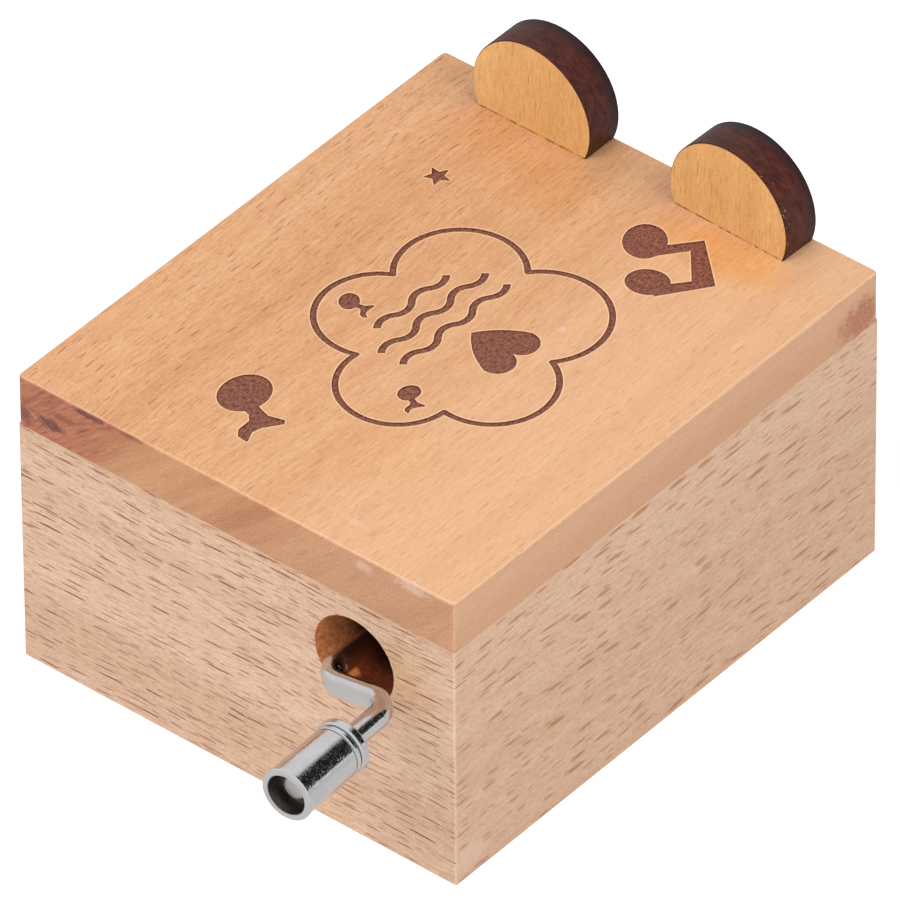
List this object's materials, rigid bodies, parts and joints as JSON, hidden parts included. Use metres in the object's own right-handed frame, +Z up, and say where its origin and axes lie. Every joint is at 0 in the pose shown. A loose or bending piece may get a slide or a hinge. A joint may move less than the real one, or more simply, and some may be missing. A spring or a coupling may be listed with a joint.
{
  "type": "hand cranked music box",
  "caption": "Small beech box with a bent wire crank and spinning knob that turns a pinned cylinder against a steel comb; engraved lid with two half-disc ears.",
  "frame": {"origin": "centre of the case's flat underside, where the box stands", "axes": "+X to the right of the crank side, -Y out of the crank side, +Y towards the ears, +Z up"},
  "size_m": [0.054, 0.0852, 0.0454],
  "materials": {
    "beech_front": "sanded, unvarnished, long grain lying level",
    "beech_side": "sanded, unvarnished, long grain lying level",
    "beech_base": "sanded, unvarnished",
    "beech_lid": "sanded, with a brown engraving",
    "ear_wood": "golden faces, scorched dark brown rim",
    "screw_steel": "zinc plated",
    "cast_zinc": "as cast, grey",
    "sheet_steel": "stamped and zinc plated",
    "comb_steel": "ground spring steel",
    "lead": "dull lead",
    "movement_brass": "turned brass",
    "shaft_steel": "bright drawn steel",
    "bright_nickel": "polished nickel plate"
  },
  "bodies": {
    "case": {"front_wall": "beech_front", "back_wall": "beech_front", "left_wall": "beech_side", "right_wall": "beech_side", "base_board": "beech_base", "lid_board": "beech_lid", "left_ear": "ear_wood", "right_ear": "ear_wood", "base_screws": "screw_steel", "movement_screws": "screw_steel", "bedplate": "cast_zinc", "cylinder_bracket": "sheet_steel", "drive_bracket": "sheet_steel", "bracket_screws": "screw_steel", "comb": "comb_steel", "comb_weights": "lead", "comb_screws": "screw_steel"},
    "crank": {"crank_wire": "bright_nickel", "worm": "movement_brass", "crank_clip": "shaft_steel"},
    "knob": {"crank_knob": "bright_nickel"},
    "cylinder": {"cylinder_sleeve": "movement_brass", "left_end_cap": "movement_brass", "right_end_cap": "movement_brass", "cylinder_arbor": "shaft_steel", "worm_wheel": "movement_brass"}
  },
  "joints": [
    {"name": "crank_spin", "type": "hinge", "parent": "case", "child": "crank", "pos_m": [0.0142, -0.0364, 0.0221], "axis": [0, 1, 0], "continuous": true},
    {"name": "knob_spin", "type": "hinge", "parent": "crank", "child": "knob", "pos_m": [0.0233, -0.04364, 0.02364], "axis": [0.0516, -0.9986, 0.0087], "continuous": true},
    {"name": "cylinder_spin", "type": "hinge", "parent": "case", "child": "cylinder", "pos_m": [-0.0005, -0.01, 0.01485], "axis": [1, 0, 0], "continuous": true}
  ],
  "couplings": [
    {"joint": "cylinder_spin", "follows": "crank_spin", "ratio": 0.05}
  ]
}
